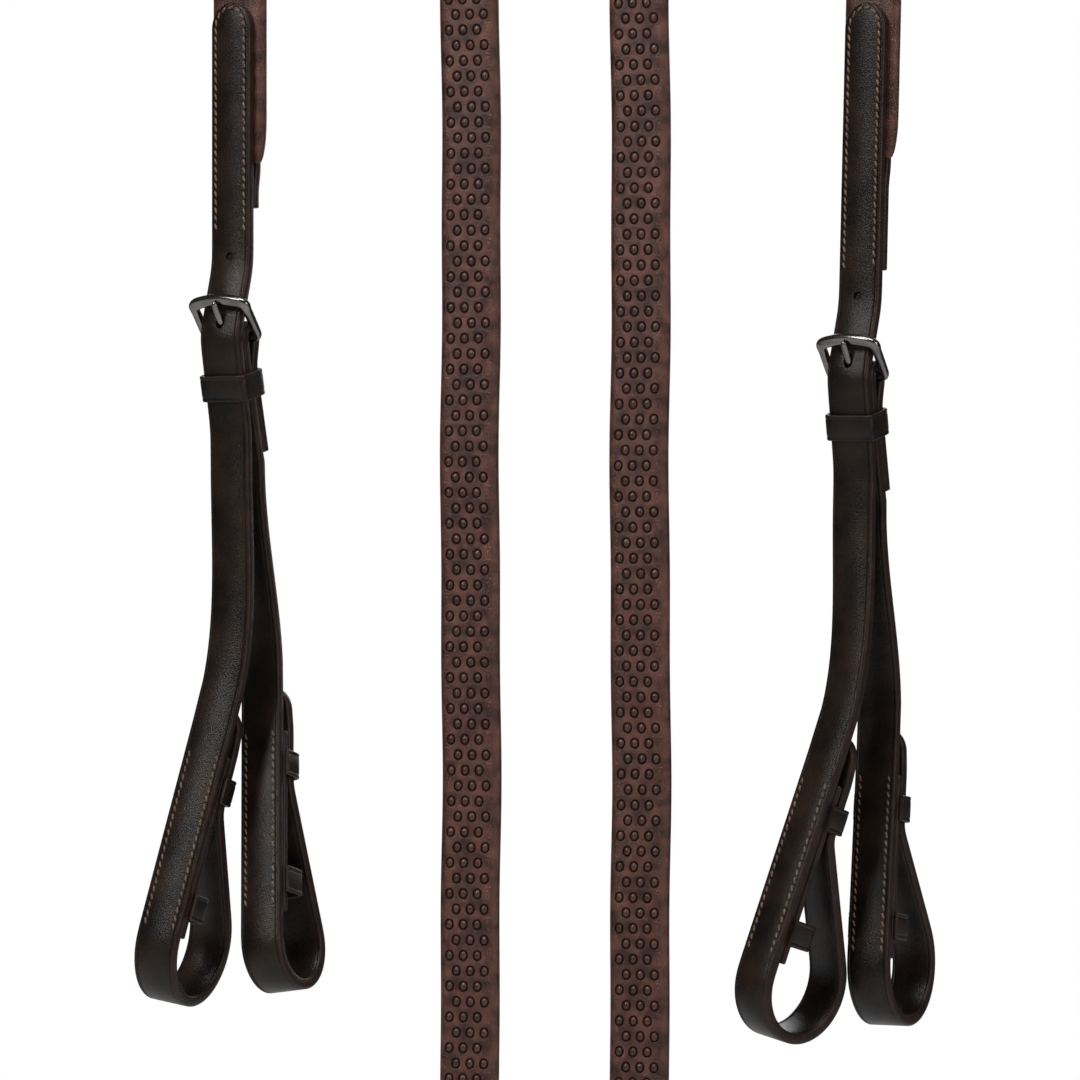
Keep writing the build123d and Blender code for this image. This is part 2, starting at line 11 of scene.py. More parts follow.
import bmesh
import bpy
import numpy as np
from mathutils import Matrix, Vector


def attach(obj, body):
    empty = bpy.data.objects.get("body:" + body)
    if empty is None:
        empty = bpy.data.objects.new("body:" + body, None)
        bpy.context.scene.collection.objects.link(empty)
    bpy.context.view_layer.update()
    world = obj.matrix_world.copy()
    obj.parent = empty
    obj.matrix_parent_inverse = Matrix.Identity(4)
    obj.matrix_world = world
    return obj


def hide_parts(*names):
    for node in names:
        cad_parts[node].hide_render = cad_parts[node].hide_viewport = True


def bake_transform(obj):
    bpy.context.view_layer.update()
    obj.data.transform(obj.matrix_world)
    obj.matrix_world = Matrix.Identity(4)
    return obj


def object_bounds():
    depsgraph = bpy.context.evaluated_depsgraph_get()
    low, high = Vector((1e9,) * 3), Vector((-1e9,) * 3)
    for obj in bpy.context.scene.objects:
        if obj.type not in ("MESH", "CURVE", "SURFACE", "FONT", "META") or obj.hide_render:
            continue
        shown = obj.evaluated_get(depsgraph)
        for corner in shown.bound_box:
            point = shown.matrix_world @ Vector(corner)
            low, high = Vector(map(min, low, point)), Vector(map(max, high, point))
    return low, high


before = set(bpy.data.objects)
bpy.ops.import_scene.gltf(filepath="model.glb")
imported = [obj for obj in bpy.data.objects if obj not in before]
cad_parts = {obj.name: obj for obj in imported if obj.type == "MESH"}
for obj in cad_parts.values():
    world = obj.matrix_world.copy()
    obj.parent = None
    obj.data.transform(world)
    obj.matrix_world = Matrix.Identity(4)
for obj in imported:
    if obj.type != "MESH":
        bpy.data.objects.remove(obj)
cad_low, cad_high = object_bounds()

MM = 0.001
FLOOR_HALF = 3.0
FLOOR_GAP = 0.06

# Straps
STRAP_WIDTH = 16.0
BILLET_THICK = 4.0
REIN_THICK = 3.5
BACKING_THICK = 3.0
GRIP_WIDTH = 21.5
GRIP_THICK = 6.0
TIP_LENGTH = 9.0

# Hanging shape
ARCH_CENTRE_X = 71.7
ARCH_RADIUS = 41.4
ARCH_STEPS = 90
TWIST_END_Z = -95.0
MIDDLE_YAW = 12.0
GRIP_END_Z = -549.0
HAND_TWIST_TOP_Z = -600.0
HAND_TWIST_END_Z = -700.0
CENTRE_BUCKLE_Z = -775.0

# Bit end
BAR_FORWARD = 4.7
FOLD_EYE_LENGTH = 10.0
FOLD_LEAN = 15.0
FOLD_LENGTH = 40.0
FOLD_GAP = 0.15
END_FLEX_DROP = -33.0
LEG_FLEX_DROP = 45.0
FRONT_AT_FLEX = 3.2
REAR_AT_FLEX = -7.4
FRONT_LEAD_DROP = -26.0
FRONT_PEAK = 10.1
FRONT_REST = 3.4
FRONT_REST_DROP = 33.0
FRONT_HOLE_DROP = -28.6
STITCH_END_DROP = -38.0
CORE_OVERLAP = 6.0
CORE_STEP_TOP = 3.0
CORE_STEP_FOOT = 9.0
BLEND_HALF = 5.0

# Buckles
BAR_RADIUS = 1.75
BAR_SLACK = 0.1
FRAME_LEAN = 40.0
FRAME_HALF = 10.7
FRAME_TOP = 14.7
FRAME_BOW = 2.0
FRAME_HALF_THICK = 1.5
FRAME_HALF_WIDTH = 1.55
FRAME_ROUNDS = 5
TOP_BAR_START = 11.5
TOP_BAR_EASE = 3.0
TOP_BAR_EXTRA = 0.6
TONGUE_RADIUS = 1.2
TONGUE_HEIGHT = 3.1
TONGUE_LENGTH = 17.2
TONGUE_WIDER = 1.3
TONGUE_THINNER = 0.92
TONGUE_STEP = 0.6

# Holes; a slot's three values are the half sizes that cut() takes
PUNCH_RADIUS = 1.6
PUNCH_DEPTH = 0.85
BILLET_HOLE_RADIUS = 1.8
THROUGH = 9.0
BRANCH_SLOT = (1.85, 2.4, THROUGH)
CENTRE_SLOT = (1.9, 2.9, THROUGH)
SLOT_DROP = 9.0
FOLD_SLOT = (8.4, 6.3, 2.6)
FOLD_SLOT_AT = (4.2, -2.1)

# Keepers
KEEPER_DROP = 17.0
KEEPER_HEIGHT = 9.4
KEEPER_WALL = 1.4
KEEPER_SLACK = 0.3
BRANCH_KEEPER_DEPTH = 12.8
BRANCH_KEEPER_LEAN = 13.5
BRANCH_KEEPER_FORWARD = 0.5
CENTRE_KEEPER_DEPTH = 11.6
CENTRE_KEEPER_FORWARD = 2.2

# Bit loops
STITCH_TOP = 18.0
STITCH_LENGTH = 66.0
UPPER_KEEPER = 30.0
LOWER_KEEPER = 72.5
UPPER_KEEPER_DEPTH = 5.4
LOWER_KEEPER_DEPTH = 7.5
STUD_DROP = 57.5
RETURN_GAP = 0.4
STUD_REACH = 5.4
STUD_NECK = 3.9
STUD_RISE = 5.3
STUD_STEP = 0.5

# Centre billet
BILLET_LEAD = -1.2
BILLET_LEAD_DROP = -28.0
BILLET_PEAK = 9.6
BILLET_PEAK_HALF = 4.0
BILLET_REST = 7.4
BILLET_REST_DROP = 12.0
BILLET_TURN_DROP = -30.0
BILLET_TIP_DROP = 46.0
BILLET_HOLE_DROPS = (9.0, 30.0)

# Surface detail
STEP = 1.2
SOFTEN_ROUNDS = 14
BAND_ROUNDS = 9
BAND_STEP = 0.8
CREASE_INSET = 1.5
CREASE_DEPTH = 0.32
STITCH_PITCH = 2.9
STITCH_INSET = 1.8
STITCH_MARGIN = 0.5
STITCH_SLANT = 17.0
STITCH_HALF_LENGTH = 1.16
STITCH_HALF_WIDTH = 0.42
STITCH_HALF_HEIGHT = 0.36
# Place and size of the dark discs painted at the stitch ends as the shade of their holes
HOLE_SHADE_OUT = 1.3
HOLE_SHADE_RADIUS = 0.34
LEG_STITCH_OUT = 5.6
PIMPLE_PITCH = 5.1
PIMPLE_ROW = 5.5
PIMPLE_SHIFT = 0.6
PIMPLE_HEIGHT = 0.52
PIMPLE_NARROW = 0.82
WHOLE_STRENGTH = 1.3
PARTIAL_STRENGTH = 0.2
GRIP_PHASE = {"left": -1.5, "right": -2.2}
GRIP_TAIL = 6.0
GRIP_END_ROUND = 5.0
SWAY_START = 260.0
SWAY_RAMP = 60.0
GRIP_TAPER = 16.0
GRIP_CROWN_POWER = 6


class Leg(NamedTuple):
    """One bit strap below its flex joint."""

    name: str
    forward: float
    sideways: float
    drop: float
    yaw: float
    roll: float
    lean: float
    run_on: float
    turn_radius: float


class End(NamedTuple):
    """One half of the reins."""

    side: str
    sign: int
    top_x: float
    yaw: float
    roll: float
    bar_drop: float
    tip_drop: float
    core_drop: float
    grip_drop: float
    legs: tuple


class Place(NamedTuple):
    """A strap's own axes: out of its front face, down it and across it."""

    origin: Vector
    forward: Vector
    down: Vector
    across: Vector

    def at(self, x, y, z=0.0):
        return self.origin + self.forward * x + self.down * y + self.across * z


class Station(NamedTuple):
    """One cross-section of a sweep."""

    point: Vector
    across: Vector
    forward: Vector
    half_width: float
    half_thick: float


ENDS = (
    End("left", -1, -112.6, 28.0, 0.0, 140.7, -119.0, -46.0, -62.0, (
        Leg("front", 6.5, -1.2, 129.5, 22.0, -9.0, 14.5, 0.5, 19.5),
        Leg("rear", -18.5, 1.0, 123.0, 28.0, 9.0, 15.0, 9.0, 15.0),
    )),
    End("right", 1, 114.1, 31.0, -1.5, 154.6, -133.0, -38.0, -78.0, (
        Leg("front", 8.5, -2.4, 126.0, 45.0, -9.0, 17.0, 5.0, 19.0),
        Leg("rear", -21.3, 1.0, 124.5, 28.5, 1.0, 8.5, 1.0, 20.5),
    )),
)


# ---------------------------------------------------------------- places and routes

def axes(yaw, roll=0.0, lean=0.0):
    """Forward, across and down of a strap turned by these degrees."""
    forward = Vector((-sin(radians(yaw)), -cos(radians(yaw)), 0))
    across = Vector((cos(radians(yaw)), -sin(radians(yaw)), 0))
    plumb = Vector((0, 0, -1))
    down = plumb * cos(radians(lean)) + forward * sin(radians(lean))
    forward = forward * cos(radians(lean)) - plumb * sin(radians(lean))
    tilted = across * cos(radians(roll)) - down * sin(radians(roll))
    down = down * cos(radians(roll)) + across * sin(radians(roll))
    return forward, tilted, down


def placed(origin, forward, across):
    return Place(origin, forward, across.cross(forward), across)


def end_bar(end):
    forward, across, down = axes(end.yaw, end.roll)
    top = Vector((end.top_x, 0, TWIST_END_Z))
    return placed(top + down * end.bar_drop + forward * BAR_FORWARD, forward, across)


def centre_bar():
    bar_x = -ARCH_CENTRE_X + ARCH_RADIUS + REIN_THICK / 2
    return placed(Vector((bar_x, 0, CENTRE_BUCKLE_Z)), Vector((-1, 0, 0)), Vector((0, 1, 0)))


def leg_place(end, leg):
    forward, across, _ = axes(leg.yaw, leg.roll, leg.lean)
    start = end_bar(end).at(leg.forward - BAR_FORWARD + GRIP_THICK / 2 + BILLET_THICK,
                            leg.drop, leg.sideways)
    return placed(start - forward * (BILLET_THICK / 2), forward, across)


def eased(share):
    """A share from 0 to 1 that starts and ends gently."""
    return share * share * (3 - 2 * share)


def turns(angle, count):
    """Angles from zero to the given one in equal steps."""
    return [angle * k / count for k in range(count + 1)]


def dense(points, step=STEP):
    """Points along a polyline, no further apart than step."""
    line = [Vector(points[0])]
    for before, after in zip(points, points[1:]):
        before, after = Vector(before), Vector(after)
        count = max(1, round((after - before).length / step))
        line += [before.lerp(after, k / count) for k in range(1, count + 1)]
    return line


def softened(line, rounds=SOFTEN_ROUNDS):
    """The line with its corners eased and its ends kept."""
    for _ in range(rounds):
        inner = [(a + b * 2 + c) / 4 for a, b, c in zip(line, line[1:], line[2:])]
        line = [line[0], *inner, line[-1]]
    return line


def softened_ring(line, rounds):
    """A closed line with its corners eased."""
    for _ in range(rounds):
        line = [(a + b * 2 + c) / 4 for a, b, c in
                zip([line[-1], *line[:-1]], line, [*line[1:], line[0]])]
    return line


def flat_stations(place, face, thick, half_width=STRAP_WIDTH / 2, rounds=SOFTEN_ROUNDS,
                  step=STEP):
    """Stations of a strap whose outer face follows points (forward, down) in one plane."""
    line = softened(dense(face, step), rounds)
    ways = [after - before for before, after in
            zip([line[0], *line[:-1]], [*line[1:], line[-1]])]
    stations = []
    for point, way in zip(line, ways):
        out = Vector((way.y, -way.x)).normalized()
        middle = point - out * (thick / 2)
        stations.append(Station(place.at(middle.x, middle.y), place.across,
                                place.forward * out.x + place.down * out.y,
                                half_width, thick / 2))
    return stations


def with_tip(stations, at_start, length=TIP_LENGTH):
    """The strap with one end trimmed to a half ellipse and thinned a little."""
    run = stations if at_start else stations[::-1]
    tip = run[0]
    rest = [s for s in run if (s.point - tip.point).length > length]
    way = (rest[0].point - tip.point).normalized()
    shaped = []
    for part in range(17):
        angle = part / 16 * pi / 2
        reach = length * (1 - cos(angle))
        shaped.append(tip._replace(point=tip.point + way * (reach + 0.01),
                                   half_width=max(0.15, tip.half_width * sin(angle)),
                                   half_thick=tip.half_thick * (0.72 + 0.28 * sin(angle))))
    shaped += rest
    return shaped if at_start else shaped[::-1]


def bevelled(stations, start=True, finish=True, size=0.45):
    """The strap with its cut ends rounded over."""
    def rounded(run):
        first, second = run[0], run[1]
        way = (second.point - first.point).normalized()
        small = first._replace(half_width=first.half_width - size,
                               half_thick=first.half_thick - size)
        middle = first._replace(point=first.point + way * size * 0.3,
                                half_width=first.half_width - size * 0.3,
                                half_thick=first.half_thick - size * 0.3)
        return [small, middle, first._replace(point=first.point + way * size), *run[1:]]
    if start:
        stations = rounded(stations)
    if finish:
        stations = rounded(stations[::-1])[::-1]
    return stations


def twisted(top, bottom, half_width, half_thick, flip=1):
    """Stations of a hanging strap that turns; top and bottom are (x, z, yaw)."""
    count = max(2, round(abs(top[1] - bottom[1]) / STEP))
    stations = []
    for k in range(count + 1):
        share = k / count
        ease = eased(share)
        forward, across, _ = axes(top[2] + (bottom[2] - top[2]) * ease)
        point = Vector((top[0] + (bottom[0] - top[0]) * ease, 0,
                        top[1] + (bottom[1] - top[1]) * share))
        stations.append(Station(point, across * flip, forward, half_width, half_thick))
    return stations


def hermite(start, start_way, finish, finish_way, s):
    """Point and direction at share s of a smooth curve that leaves and arrives as told."""
    span = (finish - start).length
    a, b = start_way * span, finish_way * span
    point = (start * (2 * s**3 - 3 * s**2 + 1) + a * (s**3 - 2 * s**2 + s)
             + finish * (3 * s**2 - 2 * s**3) + b * (s**3 - s**2))
    way = (start * (6 * s**2 - 6 * s) + a * (3 * s**2 - 4 * s + 1)
           + finish * (6 * s - 6 * s**2) + b * (3 * s**2 - 2 * s))
    return point, way.normalized()


def drape(start, bar, leg):
    """From a flex joint to the leg's straight stretch, turning on the way."""
    count = round((leg.origin - start).length / STEP)
    stations = []
    for k in range(1, count):
        share = k / count
        point, way = hermite(start, bar.down, leg.origin, leg.down, share)
        across = bar.across.lerp(leg.across, eased(share))
        across = (across - way * across.dot(way)).normalized()
        stations.append(Station(point, across, way.cross(across),
                                STRAP_WIDTH / 2, BILLET_THICK / 2))
    return stations


def loop_face(leg):
    """Outer face of a bit loop in its own plane: down, round the turn and up to the tip."""
    half = BILLET_THICK / 2
    turn_drop = STITCH_TOP + STITCH_LENGTH + leg.run_on
    back = -half - BACKING_THICK - RETURN_GAP - BILLET_THICK
    foot = UPPER_KEEPER + KEEPER_HEIGHT / 2
    reach = hypot(back + leg.turn_radius, foot - turn_drop)
    radius = leg.turn_radius + half
    angle = atan2(foot - turn_drop, back + leg.turn_radius) % (2 * pi) - acos(radius / reach)
    arc = [(radius * cos(part) - leg.turn_radius, turn_drop + radius * sin(part))
           for part in turns(angle, 24)]
    return [(half, 0), *arc, (back, foot + 2), (back, 16), (back + 2.2, 0)]


def fold_face(thick, lean):
    """Outer face of a strap end folded round a buckle bar: up the tail, over, and down."""
    eye = BAR_RADIUS + BAR_SLACK + thick
    back = -(FOLD_LENGTH - FOLD_EYE_LENGTH) * sin(radians(lean))
    arc = [(-eye * cos(part), -eye * sin(part)) for part in turns(pi, 16)]
    tail = -thick - FOLD_GAP
    return [(back + tail, FOLD_LENGTH), (tail, FOLD_EYE_LENGTH), *arc,
            (thick, FOLD_EYE_LENGTH), (back + thick, FOLD_LENGTH)]


# ---------------------------------------------------------------- meshes

def leather_section(half_width, half_thick):
    """Rounded edges, and a pressed line near each edge of both faces."""
    corner = min(1.1, half_width * 0.6, half_thick * 0.75)
    inset = min(CREASE_INSET, half_width * 0.4)
    line = half_width - inset
    gap = min(0.42, inset * 0.28)
    depth = min(CREASE_DEPTH, half_thick * 0.2)
    quarter = [(0.0, half_thick), (line - gap * 1.3, half_thick),
               (line - gap * 0.5, half_thick - depth * 0.6), (line, half_thick - depth),
               (line + gap * 0.5, half_thick - depth * 0.6), (line + gap, half_thick - 0.02)]
    flat = max(line + gap + 0.01, half_width - corner)
    width = half_width - flat
    quarter += [(flat + width * sin(a), half_thick - corner + corner * cos(a))
                for a in (radians(d) for d in (0, 22, 45, 68, 90))]
    return mirrored(quarter)


def mirrored(quarter):
    """A closed section from the quarter between its top middle and its side."""
    right = quarter + [(a, -f) for a, f in quarter[-2::-1]]
    left = [(-a, f) for a, f in right[-2:0:-1]]
    return right + left


def leather_kinds():
    """Material of each segment of a leather section: 1 on the edges, 0 on the faces."""
    half = [0] * 7 + [1] * 3
    right = half + half[::-1]
    return right + right[::-1]


def round_section(half_width, half_thick):
    """Superellipse for metal."""
    points = []
    for k in range(20):
        a = 2 * pi * k / 20
        points.append((half_width * abs(cos(a)) ** 0.7 * (1 if cos(a) >= 0 else -1),
                       half_thick * abs(sin(a)) ** 0.7 * (1 if sin(a) >= 0 else -1)))
    return points


def tube_section(half_width, half_thick):
    """Plain ellipse."""
    return [(half_width * cos(2 * pi * k / 16), half_thick * sin(2 * pi * k / 16))
            for k in range(16)]


def as_object(name, vertices, faces, kinds, materials, sharp=38):
    """Object from points in millimetres, shaded smooth except at sharp edges."""
    mesh = bpy.data.meshes.new(name)
    mesh.from_pydata([tuple(v) for v in np.array(vertices, float) * MM], [], faces)
    for material in materials:
        mesh.materials.append(material)
    mesh.polygons.foreach_set("material_index", kinds)
    mesh.shade_smooth()
    mesh.set_sharp_from_angle(angle=radians(sharp))
    obj = bpy.data.objects.new(name, mesh)
    bpy.context.scene.collection.objects.link(obj)
    return obj


def turned_out(obj):
    """Make a closed mesh's faces agree and point outwards, which the sign of its volume shows."""
    shape = bmesh.new()
    shape.from_mesh(obj.data)
    bmesh.ops.recalc_face_normals(shape, faces=shape.faces)
    if shape.calc_volume(signed=True) < 0:
        bmesh.ops.reverse_faces(shape, faces=shape.faces)
    shape.to_mesh(obj.data)
    shape.free()
    return obj


def swept(name, stations, section, kinds, materials, closed=False, sharp=38):
    """Mesh of a section carried along its stations."""
    vertices, faces, face_kinds = [], [], []
    for s in stations:
        vertices += [s.point + s.across * a + s.forward * f
                     for a, f in section(s.half_width, s.half_thick)]
    count = len(section(1, 1))
    rings = len(stations)
    for i in range(rings if closed else rings - 1):
        near, far = i * count, (i + 1) % rings * count
        for j in range(count):
            k = (j + 1) % count
            faces.append((near + j, near + k, far + k, far + j))
            face_kinds.append(kinds[j] if kinds else 0)
    if not closed:
        for ring, s in ((0, stations[0]), ((rings - 1) * count, stations[-1])):
            vertices.append(s.point)
            hub = len(vertices) - 1
            for j in range(count):
                faces.append((ring + j, ring + (j + 1) % count, hub))
                face_kinds.append(1 if kinds else 0)
    return turned_out(as_object(name, vertices, faces, face_kinds, materials, sharp))


def strap(name, stations):
    """Leather strap with dressed edges."""
    return swept(name, stations, leather_section, leather_kinds(), [LEATHER, EDGE])


def cut(obj, centre, across, out, half_sizes, round_shape=True):
    """Cut a real hole in a piece.

    The hole's section lies along across and out, and it goes in along their cross product. These
    three are right-handed, so the tool's faces point outwards and it takes material away.
    """
    half_across, half_out, depth = half_sizes
    shape = bmesh.new()
    if round_shape:
        bmesh.ops.create_cone(shape, cap_ends=True, segments=32, radius1=1, radius2=1, depth=2)
    else:
        bmesh.ops.create_cube(shape, size=2)
    way = across.cross(out)
    for v in shape.verts:
        v.co = (centre + across * (v.co.x * half_across) + out * (v.co.y * half_out)
                + way * (v.co.z * depth)) * MM
    tool_mesh = bpy.data.meshes.new("tool")
    shape.to_mesh(tool_mesh)
    shape.free()
    tool_mesh.materials.append(RAW)
    tool = bpy.data.objects.new("tool", tool_mesh)
    bpy.context.scene.collection.objects.link(tool)
    boolean = obj.modifiers.new("hole", "BOOLEAN")
    boolean.object = tool
    boolean.operation = "DIFFERENCE"
    boolean.solver = "MANIFOLD"
    bpy.context.view_layer.update()
    obj.data = bpy.data.meshes.new_from_object(
        obj.evaluated_get(bpy.context.evaluated_depsgraph_get()))
    obj.modifiers.clear()
    bpy.data.objects.remove(tool)
    obj.data.shade_smooth()
    obj.data.set_sharp_from_angle(angle=radians(38))


# ---------------------------------------------------------------- materials

def tint(red, green, blue):
    """Linear colour from a display colour."""
    parts = [c / 255 for c in (red, green, blue)]
    return (*[c / 12.92 if c <= 0.04045 else ((c + 0.055) / 1.055) ** 2.4 for c in parts], 1)


def finished(name, dark, light, rough, cloud, grain, relief, **sockets):
    """Procedural material: cloudy colour, grain in the bump, and roughness that varies."""
    material = bpy.data.materials.new(name)
    material.use_nodes = True
    tree = material.node_tree
    shader = tree.nodes["Principled BSDF"]
    for socket, value in sockets.items():
        shader.inputs[socket.replace("_", " ")].default_value = value
    place = tree.nodes.new("ShaderNodeTexCoord").outputs["Object"]

    def noise(scale, detail):
        node = tree.nodes.new("ShaderNodeTexNoise")
        node.inputs["Scale"].default_value = scale
        node.inputs["Detail"].default_value = detail
        tree.links.new(place, node.inputs["Vector"])
        return node.outputs["Fac"]

    colours = tree.nodes.new("ShaderNodeValToRGB")
    colours.color_ramp.elements[0].position = 0.35
    colours.color_ramp.elements[0].color = dark
    colours.color_ramp.elements[1].position = 0.68
    colours.color_ramp.elements[1].color = light
    tree.links.new(noise(cloud, 5), colours.inputs["Fac"])
    tree.links.new(colours.outputs["Color"], shader.inputs["Base Color"])

    spread = tree.nodes.new("ShaderNodeMapRange")
    spread.inputs["To Min"].default_value = rough[0]
    spread.inputs["To Max"].default_value = rough[1]
    tree.links.new(noise(cloud * 3.3, 4), spread.inputs["Value"])
    tree.links.new(spread.outputs["Result"], shader.inputs["Roughness"])

    pores = tree.nodes.new("ShaderNodeTexVoronoi")
    pores.inputs["Scale"].default_value = grain
    tree.links.new(place, pores.inputs["Vector"])
    height = tree.nodes.new("ShaderNodeMath")
    height.operation = "MULTIPLY_ADD"
    height.inputs[1].default_value = 0.6
    tree.links.new(noise(grain * 0.6, 3), height.inputs[0])
    tree.links.new(pores.outputs["Distance"], height.inputs[2])
    bump = tree.nodes.new("ShaderNodeBump")
    bump.inputs["Strength"].default_value = relief
    bump.inputs["Distance"].default_value = 0.0002
    tree.links.new(height.outputs["Value"], bump.inputs["Height"])
    tree.links.new(bump.outputs["Normal"], shader.inputs["Normal"])
    return material


LEATHER = finished("leather", tint(17, 13, 11), tint(44, 31, 24), (0.24, 0.42), 75, 2600, 0.4,
                   Specular_IOR_Level=0.3)
EDGE = finished("leather_edge", tint(34, 22, 17), tint(54, 34, 26), (0.36, 0.5), 160, 1800, 0.3,
                Specular_IOR_Level=0.3)
RAW = finished("raw_leather", tint(80, 42, 29), tint(112, 64, 46), (0.5, 0.7), 300, 1800, 0.4,
               Specular_IOR_Level=0.3)
THREAD = finished("thread", tint(84, 64, 51), tint(142, 117, 96), (0.6, 0.75), 900, 5000, 0.5,
                  Specular_IOR_Level=0.3)
# Near-black discs at the stitch ends: painted shade standing in for the stitch holes
PAINTED_HOLE_SHADE = finished("stitch_hole_painted_shade", tint(12, 9, 8), tint(20, 14, 12), (0.7, 0.8), 500, 2600, 0.1)
RUBBER = finished("rubber", tint(54, 28, 21), tint(104, 64, 52), (0.22, 0.42), 180, 2400, 0.7,
                  Specular_IOR_Level=0.45)
DOME = finished("rubber_dome", tint(62, 35, 26), tint(88, 54, 42), (0.2, 0.3), 140, 3600, 0.3,
                Specular_IOR_Level=0.55)
# Near-black paint on the sunken groove round each pimple: painted shade in the recess
GROOVE_PAINTED_SHADE = finished("rubber_groove_painted_shade", tint(12, 6, 4), tint(22, 11, 8), (0.5, 0.65), 140, 3600, 0.2,
                  Specular_IOR_Level=0.2)
STEEL = finished("satin_steel", tint(112, 111, 108), tint(142, 140, 136), (0.14, 0.24), 120, 4200,
                 0.08, Metallic=1.0)


# ---------------------------------------------------------------- rubber grips

class Track(NamedTuple):
    """A route as arrays, to be read at any length along it."""

    length: np.ndarray
    point: np.ndarray
    across: np.ndarray
    forward: np.ndarray


def track_of(stations):
    """The stations as arrays, without any that lie on the one before."""
    point = np.array([s.point for s in stations])
    gaps = np.linalg.norm(np.diff(point, axis=0), axis=1)
    length = np.concatenate([[0], np.cumsum(gaps)])
    keep = np.concatenate([[True], gaps > 1e-6])
    return Track(length[keep], point[keep],
                 np.array([s.across for s in stations])[keep],
                 np.array([s.forward for s in stations])[keep])


def grip_route(end):
    """Up the bit side, over the arch and down the middle."""
    bar = end_bar(end)
    width, thick = GRIP_WIDTH / 2, GRIP_THICK / 2
    outer_x = end.sign * (ARCH_CENTRE_X + ARCH_RADIUS)
    middle_x = end.sign * (ARCH_CENTRE_X - ARCH_RADIUS)
    count = round((end.bar_drop + end.grip_drop) / STEP)
    climb = -end.bar_drop - end.grip_drop
    route = [Station(bar.at(-BAR_FORWARD, end.grip_drop + climb * k / count),
                     bar.across, bar.forward, width, thick) for k in range(count)]
    route += twisted((outer_x, 0, -90 * end.sign), (end.top_x, TWIST_END_Z, end.yaw),
                     width, thick)[::-1]
    for k in range(1, ARCH_STEPS):
        turn = pi * k / ARCH_STEPS
        out = Vector((end.sign * cos(turn), 0, sin(turn)))
        route.append(Station(Vector((end.sign * ARCH_CENTRE_X, 0, 0)) + out * ARCH_RADIUS,
                             Vector((0, end.sign, 0)), out, width, thick))
    route += twisted((middle_x, 0, 90 * end.sign), (middle_x, TWIST_END_Z, MIDDLE_YAW),
                     width, thick, -1)
    route += twisted((middle_x, TWIST_END_Z, MIDDLE_YAW), (middle_x, GRIP_END_Z, MIDDLE_YAW),
                     width, thick, -1)[1:]
    return route


def read_track(track, u, along, side, lift):
    """Points on a grip's surface; u runs across it, from -1 to 1, and lift stands off it."""
    def at(values):
        return np.stack([np.interp(along, track.length, values[:, k]) for k in range(3)], 1)
    total = track.length[-1]
    start = np.clip(along / GRIP_TAPER, 0, 1)
    finish = np.clip((total - along) / GRIP_END_ROUND, 0, 1)
    shrink = np.minimum(0.8 + 0.2 * np.sqrt(start * (2 - start)), 0.93 + 0.07 * np.sqrt(finish))
    thin = np.minimum(0.62 + 0.38 * np.sqrt(start * (2 - start)), 0.8 + 0.2 * np.sqrt(finish))
    crown = np.sqrt(np.clip(1 - np.abs(u) ** GRIP_CROWN_POWER, 0, 1))
    half = GRIP_THICK / 2
    forward = at(track.forward)
    sway = 0.35 * np.sin(along / 31 + 1.3) + 0.2 * np.sin(along / 12.7)
    sway *= np.clip((along - SWAY_START) / SWAY_RAMP, 0, 1) * finish
    middle = at(track.point) + forward * (half * (1 - thin) * (start < 1))[:, None]
    return (middle + at(track.across) * (u * GRIP_WIDTH / 2 * shrink + sway)[:, None]
            + forward * (side * (half * crown * thin + lift))[:, None])


SQUARE = [(1, 0), (1, .5), (1, 1), (.5, 1), (0, 1), (-.5, 1), (-1, 1), (-1, .5), (-1, 0),
          (-1, -.5), (-1, -1), (-.5, -1), (0, -1), (.5, -1), (1, -1), (1, -.5)]
# Pimple rings: radius, lift and material (1 dome, 2 sunken groove painted near-black as shade, 0
# plain rubber)
PIMPLE_RINGS = [(0.5, 0.5, 1), (0.95, 0.4, 1), (1.28, 0.2, 1), (1.44, -0.08, 2), (1.6, -0.28, 2),
                (1.88, -0.24, 2), (2.08, 0.0, 0), (2.3, 0.05, 0)]


def pimple(half_across, strength):
    """One cell of the pimpled field: its points, faces and materials."""
    squeeze = half_across / (PIMPLE_PITCH / 2)
    points = [(0, 0, PIMPLE_HEIGHT * strength)]
    for radius, lift, _ in PIMPLE_RINGS:
        for x, y in SQUARE:
            angle = atan2(y, x)
            points.append((PIMPLE_NARROW * radius * cos(angle) * squeeze,
                           radius * sin(angle), lift * strength))
    points += [(x * half_across, y * PIMPLE_ROW / 2, 0) for x, y in SQUARE]
    count = len(SQUARE)
    faces = [(0, 1 + j, 1 + (j + 1) % count) for j in range(count)]
    kinds = [1 if strength > 1 else 0] * count
    for ring in range(len(PIMPLE_RINGS)):
        near, far = 1 + ring * count, 1 + (ring + 1) * count
        kind = PIMPLE_RINGS[ring][2] if strength > 1 else 0
        for j in range(count):
            k = (j + 1) % count
            faces.append((near + j, far + j, far + k, near + k))
            kinds.append(kind)
    return np.array(points), faces, kinds


